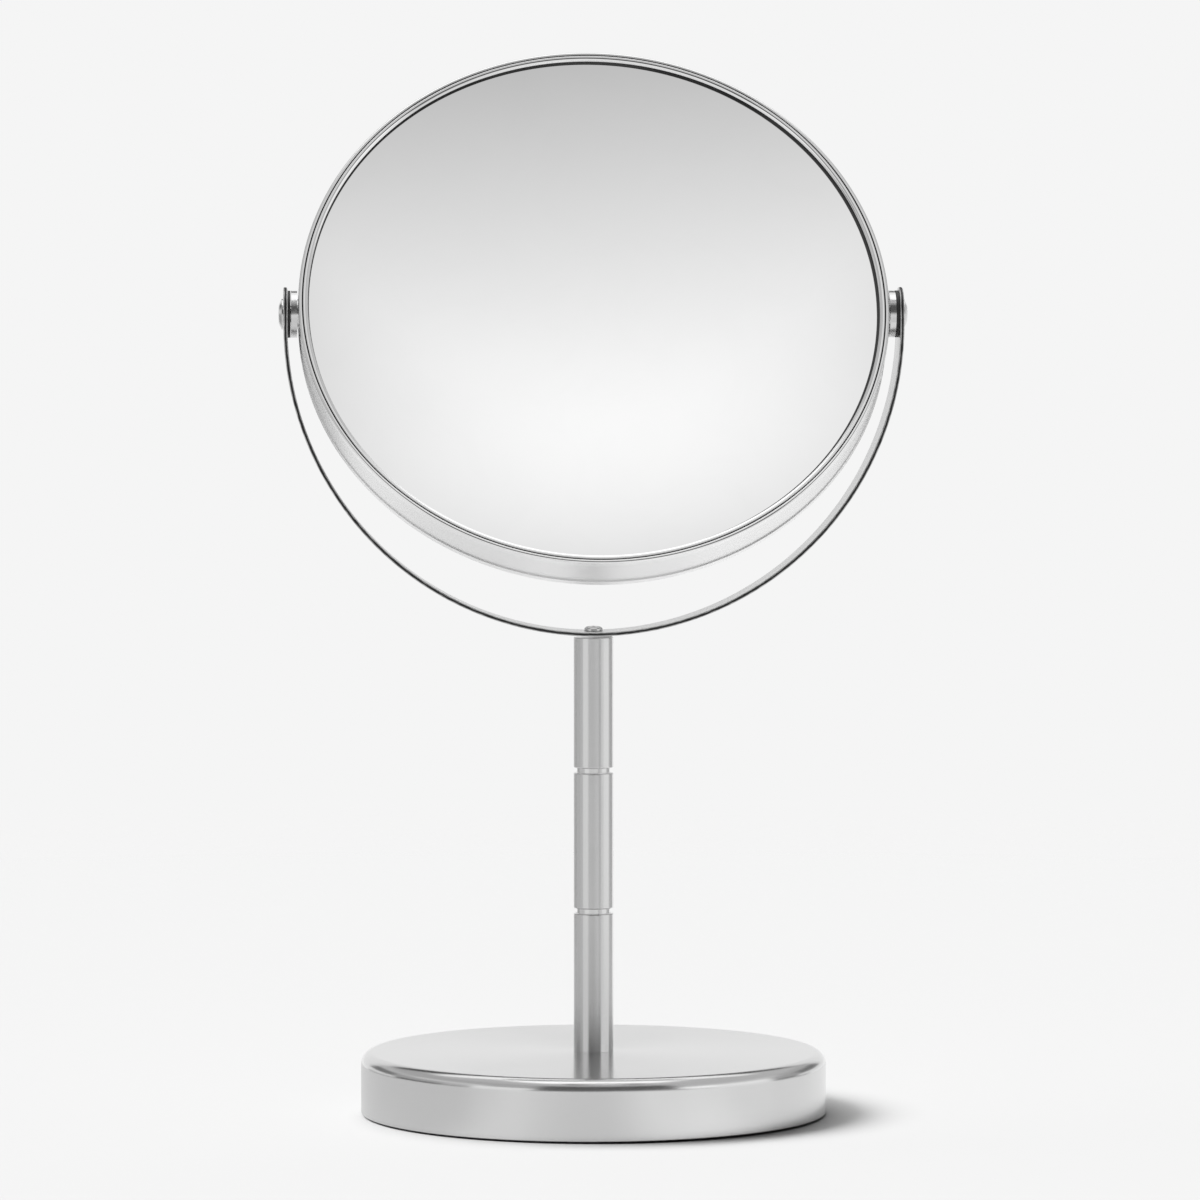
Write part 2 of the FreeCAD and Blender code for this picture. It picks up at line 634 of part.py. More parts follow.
def along_pivot(side, distance):
    """The placement of a piece that starts at a distance from the mirror's middle."""
    shift = FreeCAD.Vector(side * distance, 0, 0)
    return head_placement() * FreeCAD.Placement(shift, turned_to(side))


def make_pivot(side, name):
    band_outer = number_of("drum_radius") - number_of("bezel_sheet")
    washer_seat = band_outer + number_of("collar_height")
    hole = "pivot_thread_radius + pin_play"
    collar = ring(f"{name}_pivot_collar", hole, "collar_radius", "collar_height")
    collar.Placement = along_pivot(side, band_outer)
    steel = ring(f"{name}_steel_washer", hole, "pivot_washer_radius", "steel_washer_thickness")
    steel.Placement = along_pivot(side, washer_seat)
    nylon = ring(f"{name}_nylon_washer", "shoulder_radius + pin_play", "pivot_washer_radius",
                 "nylon_washer_thickness")
    nylon_foot = number_of("nylon_washer_seat") - number_of("nylon_washer_thickness")
    nylon.Placement = along_pivot(side, nylon_foot)
    make_pivot_screw(name).Placement = along_pivot(side, number_of("pivot_tip"))
    nut = make_pivot_nut(name)
    nut.Placement = along_pivot(side, number_of("nut_seat") - number_of("nut_height"))


def make_pivot_screw(name):
    thread_end = f"{SHOULDER_END} - pivot_tip"
    under_head = "yoke_radius + yoke_thickness + pivot_play - pivot_tip"
    top = f"{under_head} + pivot_head_height"
    return make_domed_screw(f"{name}_pivot_screw", [
        ("0", "0"), ("pivot_thread_radius", "0"), ("pivot_thread_radius", thread_end),
        ("shoulder_radius", thread_end), ("shoulder_radius", under_head),
        ("pivot_head_radius", under_head),
        ("pivot_head_radius", f"{under_head} + pivot_head_rim"),
        ("pivot_crown_radius", top), ("0", top)],
        "pivot_crown_radius", top, "pivot_crown_round")


def make_pivot_nut(name):
    nut = new_sub_part(f"{name}_pivot_nut")
    outline = sketch_on(nut, "XY_Plane", "hexagon")
    draw_outline(outline, hexagon("nut_flats"))
    block = nut.newObject("PartDesign::Pad", f"{name}_pivot_nut_block")
    block.Profile = outline
    block.setExpression("Length", bound("nut_height"))
    doc.recompute()
    bore = sketch_on(nut, "XY_Plane", "bore")
    draw_circle(bore, "pivot_thread_radius")
    cut(nut, bore, "thread")
    return nut


def write_sub_parts():
    """Check every object of the document, then write each sub-part to its own file."""
    doc.recompute()
    for item in doc.Objects:
        if {"Invalid", "Error"} & set(item.State):
            raise RuntimeError(f"{item.Label} is {item.State}")
    os.makedirs("parts", exist_ok=True)
    for piece in sub_parts:
        shape = piece.Shape
        if shape.isNull() or not shape.isValid() or not shape.Solids:
            raise RuntimeError(f"{piece.Label} has no valid solid")
        shape.exportStep(f"parts/{piece.Label}.step")
        print(f"{piece.Label}: {len(shape.Solids)} solid, {shape.Volume:.1f} mm3")


make_base_pad()
make_base_cover()
make_base_weight()
make_base_shell()
make_base_fasteners()
make_foot_plug()
for place in TUBE_LENGTHS:
    make_tube(place)
make_slide("lower", "lower")
make_slide("upper", "middle")
make_swivel()
make_yoke()
make_band()
make_bezel("front_bezel", 1)
make_bezel("rear_bezel", -1)
make_plain_glass()
make_dished_glass()
make_glass_supports()
make_pivot(-1, "left")
make_pivot(1, "right")
write_sub_parts()
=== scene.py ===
import math

import bmesh
import bpy
from mathutils import Matrix, Vector


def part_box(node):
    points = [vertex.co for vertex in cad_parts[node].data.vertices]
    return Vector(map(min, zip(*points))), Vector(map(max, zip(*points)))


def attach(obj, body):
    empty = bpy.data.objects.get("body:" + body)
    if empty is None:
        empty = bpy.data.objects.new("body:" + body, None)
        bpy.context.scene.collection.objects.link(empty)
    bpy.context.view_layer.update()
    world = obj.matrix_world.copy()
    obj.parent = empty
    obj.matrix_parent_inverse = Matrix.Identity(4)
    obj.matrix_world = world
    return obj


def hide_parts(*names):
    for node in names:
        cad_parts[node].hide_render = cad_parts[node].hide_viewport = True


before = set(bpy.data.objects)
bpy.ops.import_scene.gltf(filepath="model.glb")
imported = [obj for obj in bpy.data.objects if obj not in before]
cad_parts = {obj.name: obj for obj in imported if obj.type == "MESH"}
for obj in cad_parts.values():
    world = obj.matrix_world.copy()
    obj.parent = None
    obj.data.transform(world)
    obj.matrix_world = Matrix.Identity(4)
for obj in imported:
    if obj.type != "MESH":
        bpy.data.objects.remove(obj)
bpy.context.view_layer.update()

# Looks of the extendable shaving mirror. The object's lengths are millimetres, as in the CAD
# source, and MM turns them into metres, which the studio and the camera are given in. The big
# turned pieces and the bent strip are rebuilt here with exact normals, because polished metal
# shows every facet. The small hardware and what is inside the drum and the base keep their
# CAD meshes.

MM = 0.001
TURNS = 256
ARC_STEPS = 14
BOWL_STEPS = 24
ON_THE_AXIS = 1e-6


# Places that the frame gives

def middle(node):
    low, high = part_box(node)
    return (low + high) / 2


def foot_of(node):
    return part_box(node)[0].z / MM


def top_of(node):
    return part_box(node)[1].z / MM


PIVOT_HEIGHT = middle("left_pivot_screw").z / MM
REST_TILT = 31.0
HEAD = (Matrix.Translation((0, 0, PIVOT_HEIGHT * MM))
        @ Matrix.Rotation(math.radians(90 - REST_TILT), 4, "X"))
TURNED_OVER = Matrix.Rotation(math.pi, 4, "X")


# Turned pieces

def section(*corners):
    """Points round a closed section, from (radius, height, rounding) corners in millimetres.

    The corners run anticlockwise with the radius to the right. Each point comes back as
    (radius, height, normal of the side before it, normal of the side after it).
    """
    points = []
    for here, corner in enumerate(corners):
        place = Vector(corner[:2])
        before = (place - Vector(corners[here - 1][:2])).normalized()
        after = (Vector(corners[(here + 1) % len(corners)][:2]) - place).normalized()
        rounding = corner[2] if len(corner) > 2 else 0
        if not rounding:
            points.append((*place, outward(before), outward(after)))
            continue
        turn = math.atan2(before.x * after.y - before.y * after.x, before.dot(after))
        side = math.copysign(1, turn)
        start = place - before * rounding * math.tan(abs(turn) / 2)
        centre = start - side * rounding * outward(before)
        for step in range(ARC_STEPS + 1):
            normal = outward(before).copy()
            normal.rotate(Matrix.Rotation(turn * step / ARC_STEPS, 2))
            points.append((*(centre + side * rounding * normal), normal, normal))
    return points


def outward(direction):
    return Vector((direction.y, -direction.x))


def bowl(radius, centre, rim, facing):
    """Points of a part of a ball, from the axis to the rim or back, facing down or up."""
    points = []
    for step in range(BOWL_STEPS + 1):
        share = step / BOWL_STEPS if facing < 0 else 1 - step / BOWL_STEPS
        across = rim * share
        up = math.sqrt(radius ** 2 - across ** 2)
        normal = Vector((across, up)).normalized() * facing
        points.append((across, centre + up, normal, normal))
    return points


def turned(name, points, body, nodes, finish, place=Matrix.Identity(4)):
    """A piece turned about its own Z axis, with the exact normals of its section."""
    vertices, rings = [], []
    for radius, height, *_ in points:
        count = TURNS if radius > ON_THE_AXIS else 1
        rings.append(range(len(vertices), len(vertices) + count))
        vertices += [(radius * MM * math.cos(math.tau * n / TURNS),
                      radius * MM * math.sin(math.tau * n / TURNS), height * MM)
                     for n in range(count)]
    faces, normals = [], []
    for index, low in enumerate(points):
        follower = (index + 1) % len(points)
        low_ring, high_ring = rings[index], rings[follower]
        if len(low_ring) == 1 and len(high_ring) == 1:
            continue
        for n in range(TURNS):
            angle = math.tau * n / TURNS
            next_angle = math.tau * (n + 1) / TURNS
            around = [(low_ring, n, low[3], angle), (low_ring, n + 1, low[3], next_angle),
                      (high_ring, n + 1, points[follower][2], next_angle),
                      (high_ring, n, points[follower][2], angle)]
            if len(low_ring) == 1:
                del around[0]
            if len(high_ring) == 1:
                del around[-1]
            faces.append([ring[turn % len(ring)] for ring, turn, *_ in around])
            normals += [(normal.x * math.cos(a), normal.x * math.sin(a), normal.y)
                        for *_, normal, a in around]
    mesh = bpy.data.meshes.new(name)
    mesh.from_pydata(vertices, [], faces)
    mesh.polygons.foreach_set("use_smooth", [True] * len(faces))
    mesh.normals_split_custom_set(normals)
    add_piece(name, mesh, body, nodes, [finish], place)


def add_piece(name, mesh, body, nodes, finishes, place=Matrix.Identity(4)):
    """A piece on a body that stands for CAD nodes and takes its look from a material slot."""
    piece = bpy.data.objects.new(name, mesh)
    bpy.context.scene.collection.objects.link(piece)
    for finish in finishes:
        mesh.materials.append(finish)
    piece.matrix_world = place
    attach(piece, body)
    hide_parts(*nodes)
    return piece


# Shader nodes

def add(tree, kind, inputs=None, **settings):
    """A new node. A socket among the inputs is linked, anything else is a plain value."""
    made = tree.nodes.new(kind)
    for name, value in settings.items():
        setattr(made, name, value)
    for name, value in (inputs or {}).items():
        if isinstance(value, bpy.types.NodeSocket):
            tree.links.new(value, made.inputs[name])
        else:
            made.inputs[name].default_value = value
    return made


def compute(tree, operation, *values):
    return add(tree, "ShaderNodeMath", dict(enumerate(values)), operation=operation).outputs[0]


def ramp(tree, value, low, high, start=0.0, end=1.0):
    """Start below low, end above high, and a smooth rise between them."""
    inputs = {"Value": value, "From Min": low, "From Max": high, "To Min": start, "To Max": end}
    made = add(tree, "ShaderNodeMapRange", inputs, interpolation_type="SMOOTHSTEP")
    return made.outputs["Result"]


def noise(tree, where, scale, detail, roughness, distortion=0.0):
    return add(tree, "ShaderNodeTexNoise", {
        "Vector": where, "Scale": scale, "Detail": detail, "Roughness": roughness,
        "Distortion": distortion}).outputs["Fac"]


def own_place(tree):
    """The place on a piece, from the piece's own origin and along its own axes, in metres."""
    return add(tree, "ShaderNodeTexCoord").outputs["Object"]


def split(tree, vector):
    return add(tree, "ShaderNodeSeparateXYZ", {"Vector": vector}).outputs


def joined(tree, x, y, z):
    return add(tree, "ShaderNodeCombineXYZ", {"X": x, "Y": y, "Z": z}).outputs[0]


def length(tree, x, y):
    squares = compute(tree, "ADD", compute(tree, "MULTIPLY", x, x), compute(tree, "MULTIPLY", y, y))
    return compute(tree, "SQRT", squares)


def round_the_axis(tree):
    """Radius, height and angle about the piece's own Z axis, in metres and radians."""
    x, y, z = split(tree, own_place(tree))
    return length(tree, x, y), z, compute(tree, "ARCTAN2", y, x)


def new_material(name, metallic=0.0):
    material = bpy.data.materials.new(name)
    material.use_nodes = True
    tree = material.node_tree
    shader = tree.nodes["Principled BSDF"]
    shader.inputs["Metallic"].default_value = metallic
    return material, tree, shader


def paint(tree, shader, tint):
    """Make the shader's colour a grey of the given tint."""
    colour = add(tree, "ShaderNodeCombineColor", {"Red": tint, "Green": tint, "Blue": tint})
    tree.links.new(colour.outputs[0], shader.inputs["Base Color"])


def roughen(tree, shader, rough, rise, depth):
    """Give the shader its roughness, and a bump of a depth in millimetres."""
    tree.links.new(rough, shader.inputs["Roughness"])
    bump = add(tree, "ShaderNodeBump", {"Height": rise, "Distance": depth * MM})
    tree.links.new(bump.outputs["Normal"], shader.inputs["Normal"])


# Each finish below has a shade, which is the middle of its tint, and a roughness. Wear is how
# far the tint strays from the shade. The scales of noises are per metre.

WEAR = 0.04
GRAIN_ROUND = 1.3
CLOUD_SCALE = 45.0
ALONG_THE_GRAIN = 0.25


def turned_metal(name, shade, roughness, grain, anisotropy, depth):
    """Metal with the fine circular grain that turning, drawing on a mandrel or satin wheels leave.

    Grain is the spacing of its lines and depth their depth, in millimetres.
    """
    material, tree, shader = new_material(name, metallic=1.0)
    radius, height, angle = round_the_axis(tree)
    fine = 1 / (grain * MM)
    stretched = joined(tree, compute(tree, "MULTIPLY", radius, fine),
                       compute(tree, "MULTIPLY", height, fine),
                       compute(tree, "MULTIPLY", angle, GRAIN_ROUND))
    lines = noise(tree, stretched, 1.0, detail=3.0, roughness=0.6)
    cloud = noise(tree, own_place(tree), CLOUD_SCALE, detail=4.0, roughness=0.5)
    uneven = compute(tree, "MULTIPLY_ADD", lines, WEAR, compute(tree, "MULTIPLY", cloud, WEAR))
    paint(tree, shader, compute(tree, "ADD", shade - WEAR, uneven))
    rough = ramp(tree, uneven, 0.2 * WEAR, 1.8 * WEAR, roughness * 0.8, roughness * 1.2)
    roughen(tree, shader, rough, lines, depth)
    shader.inputs["Anisotropic"].default_value = anisotropy
    shader.inputs["Anisotropic Rotation"].default_value = ALONG_THE_GRAIN
    tangent = add(tree, "ShaderNodeTangent", direction_type="RADIAL", axis="Z")
    tree.links.new(tangent.outputs["Tangent"], shader.inputs["Tangent"])
    return material


def plain_metal(name, shade, roughness, spot, depth, wear=WEAR, work=None):
    """Plated or cast metal with faint spots and dulled places of the given size in millimetres.

    Work, if given, takes the tree, the tint and the roughness, and returns the last two changed.
    """
    material, tree, shader = new_material(name, metallic=1.0)
    spots = noise(tree, own_place(tree), 1 / (spot * MM), detail=5.0, roughness=0.6)
    tint = compute(tree, "MULTIPLY_ADD", spots, 2 * wear, shade - wear)
    rough = ramp(tree, spots, 0.3, 0.7, roughness * 0.6, roughness * 1.4)
    if work:
        tint, rough = work(tree, tint, rough)
    paint(tree, shader, tint)
    roughen(tree, shader, rough, spots, depth)
    return material


# The groove is painted dark, a painted shade, up to one distance from its middle and unshaded
# from another. The crown is polished up to one distance from the drum's side, and the side is
# fully brushed from another.

DRUM_RADIUS = 88.0
GROOVE_RADIUS = 86.75
GROOVE_PAINTED_SHADE = 0.03
GROOVE_DARK = 0.12
GROOVE_UNSHADED = 0.24
CROWN_POLISHED = 0.15
SIDE_BRUSHED = 0.02
SIDE_LIGHTER = 0.16
SIDE_ROUGHER = 0.36


def bezel_work(tree, tint, rough):
    """The bezel's groove is painted dark as painted shade, and its side is brushed and lighter."""
    radius, _, _ = round_the_axis(tree)
    aside = compute(tree, "ABSOLUTE", compute(tree, "SUBTRACT", radius, GROOVE_RADIUS * MM))
    # Painted shade: in the groove the tint is cut nearly to black, as if shade lay there.
    unshaded = ramp(tree, aside, GROOVE_DARK * MM, GROOVE_UNSHADED * MM, GROOVE_PAINTED_SHADE, 1.0)
    brushed = ramp(tree, radius, (DRUM_RADIUS - CROWN_POLISHED) * MM,
                   (DRUM_RADIUS - SIDE_BRUSHED) * MM)
    lighter = compute(tree, "MULTIPLY_ADD", brushed, SIDE_LIGHTER, 1.0)
    tint = compute(tree, "MULTIPLY", compute(tree, "MULTIPLY", tint, unshaded), lighter)
    return tint, compute(tree, "MULTIPLY_ADD", brushed, SIDE_ROUGHER, rough)


STRIP_WEAR = 0.06
ACROSS_THE_STRIP = 4000.0
ALONG_THE_STRIP = 60.0
STRIP_GRAIN = 0.002


def strip_metal(name, shade, roughness):
    """Rolled strip: its grain runs along its length, so it changes across Y only."""
    material, tree, shader = new_material(name, metallic=1.0)
    stretched = add(tree, "ShaderNodeMapping", {
        "Vector": own_place(tree),
        "Scale": (ALONG_THE_STRIP, ACROSS_THE_STRIP, ALONG_THE_STRIP)})
    lines = noise(tree, stretched.outputs[0], 1.0, detail=3.0, roughness=0.6)
    paint(tree, shader, compute(tree, "MULTIPLY_ADD", lines, 2 * STRIP_WEAR, shade - STRIP_WEAR))
    rough = ramp(tree, lines, 0.3, 0.7, roughness * 0.8, roughness * 1.25)
    roughen(tree, shader, rough, lines, STRIP_GRAIN)
    return material


# The torn band is measured across the strip's thickness, from 0 in its middle to 1 at its faces,
# with ragged limits.

TEAR_FINENESS = 400.0
TEAR_LAYERS = 3.0
TEAR_RAGGED = 1.2
TEAR_START = 0.85
TEAR_END = 1.5
TEAR_DEPTH = 0.01


def sheared_metal(name):
    """Cut edge: a torn band, painted near black as a painted reflection, between burnished ones."""
    material, tree, shader = new_material(name, metallic=1.0)
    x, _, z = split(tree, own_place(tree))
    below = compute(tree, "MINIMUM", compute(tree, "SUBTRACT", z, BEND_CENTRE * MM), 0.0)
    out = compute(tree, "SUBTRACT", length(tree, x, below), STRIP_MIDDLE * MM)
    across = compute(tree, "DIVIDE", out, STRIP_THICKNESS / 2 * MM)
    stretched = joined(tree, compute(tree, "MULTIPLY", across, TEAR_LAYERS),
                       compute(tree, "MULTIPLY", x, TEAR_FINENESS),
                       compute(tree, "MULTIPLY", z, TEAR_FINENESS))
    ragged = noise(tree, stretched, 1.0, detail=4.0, roughness=0.65)
    torn = compute(tree, "MULTIPLY_ADD", ragged, TEAR_RAGGED, compute(tree, "ABSOLUTE", across))
    # Painted reflection: the torn band is tinted near black for the dark it mirrors; its roughness
    # is real.
    paint(tree, shader, ramp(tree, torn, TEAR_START, TEAR_END, 0.04, 0.6))
    rough = ramp(tree, torn, TEAR_START, TEAR_END, 0.5, 0.2)
    roughen(tree, shader, rough, torn, TEAR_DEPTH)
    return material


# The silver's disc, how far its edge fades, and where its middle lies on the glass

SILVER_RADIUS = 84.5
SILVER_EDGE = 0.15
SILVER_ASIDE = -0.28
SILVER_BELOW = 0.2
SMEAR_SCALE = 38.0
SMEAR_SHADE = 0.012
GAP_PAINTED_SHADE = 0.02


def silvered_glass(name, shade, roughness):
    """Silver seen through clear glass, with the faintest smears on its face.

    The silver stops a little inside the bezel, and the ring outside it is painted near black, a
    painted shade of the gap at the bezel's inner wall. The disc sits a little low and to the left,
    so this painted shade is widest at the top and the right.
    """
    material, tree, shader = new_material(name)
    place = own_place(tree)
    x, y, _ = split(tree, place)
    radius = length(tree, compute(tree, "SUBTRACT", x, SILVER_ASIDE * MM),
                    compute(tree, "ADD", y, SILVER_BELOW * MM))
    silver = ramp(tree, radius, SILVER_RADIUS * MM, (SILVER_RADIUS + SILVER_EDGE) * MM, 1.0, 0.0)
    smears = noise(tree, place, SMEAR_SCALE, detail=5.0, roughness=0.65, distortion=1.2)
    # Outside the silver's disc the tint is painted near black, as painted shade of the gap at the
    # bezel.
    paint(tree, shader, compute(
        tree, "MULTIPLY", ramp(tree, smears, 0.3, 0.8, shade, shade - SMEAR_SHADE),
        compute(tree, "MULTIPLY_ADD", silver, 1 - GAP_PAINTED_SHADE, GAP_PAINTED_SHADE)))
    rough = ramp(tree, smears, 0.45, 0.8, roughness, roughness * 3)
    tree.links.new(rough, shader.inputs["Roughness"])
    tree.links.new(silver, shader.inputs["Metallic"])
    return material


def dull(name, shade, roughness, spot, depth, contrast=0.15, specular=0.5):
    """Plastic, foam, board or cast iron skin with a fine even surface."""
    material, tree, shader = new_material(name)
    grain = noise(tree, own_place(tree), 1 / (spot * MM), detail=5.0, roughness=0.65)
    paint(tree, shader, ramp(tree, grain, 0.3, 0.7, shade * (1 - contrast), shade * (1 + contrast)))
    rough = ramp(tree, grain, 0.3, 0.7, roughness * 0.9, roughness * 1.1)
    roughen(tree, shader, rough, grain, depth)
    shader.inputs["Specular IOR Level"].default_value = specular
    return material


FINISHES = {
    "base_steel": turned_metal("base_steel", 0.69, 0.19, 0.25, 0.45, 0.001),
    "tube_steel": turned_metal("tube_steel", 0.68, 0.24, 0.22, 0.93, 0.0006),
    "rod_steel": turned_metal("rod_steel", 0.70, 0.18, 0.15, 0.85, 0.0005),
    "band_steel": turned_metal("band_steel", 0.93, 0.42, 0.3, 0.3, 0.0001),
    "bezel_chrome": plain_metal("bezel_chrome", 0.82, 0.025, 6.0, 0.0002, work=bezel_work),
    "pivot_chrome": plain_metal("pivot_chrome", 0.64, 0.2, 2.0, 0.0006, 0.06),
    "screw_steel": plain_metal("screw_steel", 0.55, 0.3, 0.8, 0.01, 0.08),
    "weight_iron": dull("weight_iron", 0.05, 0.6, 1.2, 0.15),
    "yoke_steel": strip_metal("yoke_steel", 0.66, 0.3),
    "plain_mirror": silvered_glass("plain_mirror", 0.93, 0.012),
    "magnifying_mirror": silvered_glass("magnifying_mirror", 0.92, 0.012),
    "cover_plastic": dull("cover_plastic", 0.03, 0.5, 0.5, 0.02),
    "pad_foam": dull("pad_foam", 0.04, 0.9, 0.35, 0.12, specular=0.2),
    "bush_plastic": dull("bush_plastic", 0.62, 0.4, 0.6, 0.01, 0.06),
    "washer_plastic": dull("washer_plastic", 0.02, 0.5, 0.6, 0.01),
    "board": dull("board", 0.35, 0.85, 0.9, 0.04),
    "spacer_plastic": dull("spacer_plastic", 0.6, 0.5, 0.7, 0.01),
}

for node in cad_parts.values():
    for slot in node.material_slots:
        slot.material = FINISHES[slot.material.name]


# Base and post

BASE_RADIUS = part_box("base_shell")[1].x / MM
BASE_TOP = top_of("base_shell")
SHELL_FOOT = foot_of("base_shell")
SHELL_WALL = 1.0
SHELL_EDGE = 3.8
SHELL_HOLE = 5.15
TUBE_RADIUS = 6.0
TUBE_BORE = 5.1
TUBE_EDGE = 0.4
CRISP_EDGE = 0.05
ROD_RADIUS = 4.5
ROD_REACH = 33.4
ROD_END_RADIUS = 3.0
STOP_RING_HEIGHT = 3.5
NECK_RADIUS = 5.0
NECK_HEIGHT = 1.5


def make_base():
    under = BASE_TOP - SHELL_WALL
    inside = BASE_RADIUS - SHELL_WALL
    turned("base_cup", section(
        (BASE_RADIUS, SHELL_FOOT, 0.3), (BASE_RADIUS, BASE_TOP, SHELL_EDGE),
        (SHELL_HOLE, BASE_TOP), (SHELL_HOLE, under),
        (inside, under, SHELL_EDGE - SHELL_WALL), (inside, SHELL_FOOT, 0.3)),
        "base", ["base_shell"], FINISHES["base_steel"])
    pad_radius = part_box("base_pad")[1].x / MM
    turned("foot_pad", section(
        (0, 0), (pad_radius, 0, 0.25), (pad_radius, top_of("base_pad")),
        (0, top_of("base_pad"))),
        "base", ["base_pad"], FINISHES["pad_foam"])


def make_tube(place, body, foot_edge=TUBE_EDGE):
    node = f"{place}_tube"
    foot, top = foot_of(node), top_of(node)
    turned(f"{place}_post_tube", section(
        (TUBE_RADIUS, foot, foot_edge), (TUBE_RADIUS, top, TUBE_EDGE),
        (TUBE_BORE, top), (TUBE_BORE, foot)),
        body, [node], FINISHES["tube_steel"])


def make_rod(place, body):
    """From below: the end in the stop ring, the rod, the neck and what is fast in the tube."""
    node = f"{place}_extension_rod"
    foot, top = foot_of(node), top_of(node)
    rod_foot = foot + STOP_RING_HEIGHT
    neck_foot = foot + ROD_REACH
    neck_top = neck_foot + NECK_HEIGHT
    turned(f"{place}_sliding_rod", section(
        (0, foot), (ROD_END_RADIUS, foot), (ROD_END_RADIUS, rod_foot), (ROD_RADIUS, rod_foot),
        (ROD_RADIUS, neck_foot, 0.1), (NECK_RADIUS, neck_foot, 0.15), (NECK_RADIUS, neck_top),
        (TUBE_BORE, neck_top), (TUBE_BORE, top), (0, top)),
        body, [node], FINISHES["rod_steel"])


make_base()
make_tube("lower", "base", foot_edge=CRISP_EDGE)
make_tube("middle", "middle_section")
make_tube("upper", "top_section")
make_rod("lower", "middle_section")
make_rod("upper", "top_section")


# Yoke: a flat strip with rounded ends and three holes, then bent

STRIP_INNER = 91.2
STRIP_THICKNESS = 1.2
STRIP_HALF = 8.0
STRIP_MIDDLE = STRIP_INNER + STRIP_THICKNESS / 2
STRIP_FOOT = foot_of("yoke_strip")
BEND_CENTRE = STRIP_FOOT + STRIP_INNER + STRIP_THICKNESS
BEND_LENGTH = STRIP_MIDDLE * math.pi / 2
PIVOT_ALONG = BEND_LENGTH + PIVOT_HEIGHT - BEND_CENTRE
PIVOT_HOLE = 2.55
SWIVEL_HOLE = 2.05
HOLE_STEPS = 48
STRIP_STEPS = 96
EDGE_ROUND = 0.3
EDGE_STEPS = 6
SHARP = math.radians(60)
FLAT = 0.7


def square_reach(angle):
    """How far a square of half side 1 reaches in a direction."""
    return 1 / max(abs(math.cos(angle)), abs(math.sin(angle)))


def add_hole_patch(sheet, along, hole, end):
    """The strip round one hole. End is the side on which the strip ends in a half circle."""
    rings = []
    for share in (0, 0.25, 0.5, 0.75, 1):
        ring = []
        for step in range(HOLE_STEPS):
            angle = math.tau * step / HOLE_STEPS
            reach = 1 if end * math.cos(angle) > 0 else square_reach(angle)
            radius = hole + (STRIP_HALF * reach - hole) * share
            ring.append(sheet.verts.new((along + radius * math.cos(angle),
                                         radius * math.sin(angle), 0)))
        rings.append(ring)
    for inner, outer in zip(rings, rings[1:]):
        for step in range(HOLE_STEPS):
            follower = (step + 1) % HOLE_STEPS
            sheet.faces.new((inner[step], outer[step], outer[follower], inner[follower]))


def add_run(sheet, start, end):
    """A plain run of strip between two hole patches, with matching points at its ends."""
    eighth = HOLE_STEPS // 8
    across = [STRIP_HALF * math.tan(math.tau * n / HOLE_STEPS)
              for n in range(-eighth, eighth + 1)]
    rows = [[sheet.verts.new((start + (end - start) * step / STRIP_STEPS, y, 0)) for y in across]
            for step in range(STRIP_STEPS + 1)]
    for row, follower in zip(rows, rows[1:]):
        for n in range(len(across) - 1):
            sheet.faces.new((row[n], follower[n], follower[n + 1], row[n + 1]))


def bend(point):
    """Take a point of the flat strip to its place on the bent one, in metres."""
    along, y, out = point
    radius = STRIP_MIDDLE + out
    if abs(along) < BEND_LENGTH:
        angle = along / STRIP_MIDDLE
        return Vector((radius * math.sin(angle), y, BEND_CENTRE - radius * math.cos(angle))) * MM
    beyond = abs(along) - BEND_LENGTH
    return Vector((math.copysign(radius, along), y, BEND_CENTRE + beyond)) * MM


def make_strip():
    """The strip, laid flat and joined from patches, thickened, rounded along its edges and bent.

    The faces that were its edges get a finish of their own.
    """
    sheet = bmesh.new()
    add_hole_patch(sheet, 0, SWIVEL_HOLE, 0)
    for side in (-1, 1):
        add_hole_patch(sheet, side * PIVOT_ALONG, PIVOT_HOLE, side)
        ends = sorted((side * STRIP_HALF, side * (PIVOT_ALONG - STRIP_HALF)))
        add_run(sheet, *ends)
    bmesh.ops.remove_doubles(sheet, verts=sheet.verts, dist=1e-4)
    grown = bmesh.ops.extrude_face_region(sheet, geom=sheet.faces[:])["geom"]
    tops = [item for item in grown if isinstance(item, bmesh.types.BMVert)]
    for vertex in sheet.verts:
        vertex.co.z = -STRIP_THICKNESS / 2
    for vertex in tops:
        vertex.co.z = STRIP_THICKNESS / 2
    bmesh.ops.recalc_face_normals(sheet, faces=sheet.faces)
    corners = [edge for edge in sheet.edges if edge.calc_face_angle(0) > SHARP]
    bmesh.ops.bevel(sheet, geom=corners, offset=EDGE_ROUND, segments=EDGE_STEPS, profile=0.5,
                    affect="EDGES")
    bmesh.ops.recalc_face_normals(sheet, faces=sheet.faces)
    for face in sheet.faces:
        face.smooth = True
        face.material_index = 1 if abs(face.normal.z) < FLAT else 0
    for vertex in sheet.verts:
        vertex.co = bend(vertex.co)
    mesh = bpy.data.meshes.new("bent_strip")
    sheet.to_mesh(mesh)
    sheet.free()
    piece = add_piece("bent_strip", mesh, "yoke", ["yoke_strip"],
                      [FINISHES["yoke_steel"], sheared_metal("sheared_edge")])
    piece.modifiers.new("flat_faces", "WEIGHTED_NORMAL").keep_sharp = False


make_strip()


# Mirror head, built flat and stood up by HEAD

CROWN = 7.0
GROOVE_HALF = 0.17
GROOVE_DEPTH = 0.6
FOLD_HALF = 0.45
FOLD_DEPTH = 0.5
SHEET = 0.4
SKIRT = 4.9
VIEW_RADIUS = 85.1
GLASS_FACE = 5.35
GLASS_RADIUS = 86.4
GLASS_THICKNESS = 2.3
BAND_WALL = 0.8
BAND_HALF = 5.4
DISH_RADIUS = 1000.0
DISH_THICKNESS = 2.0


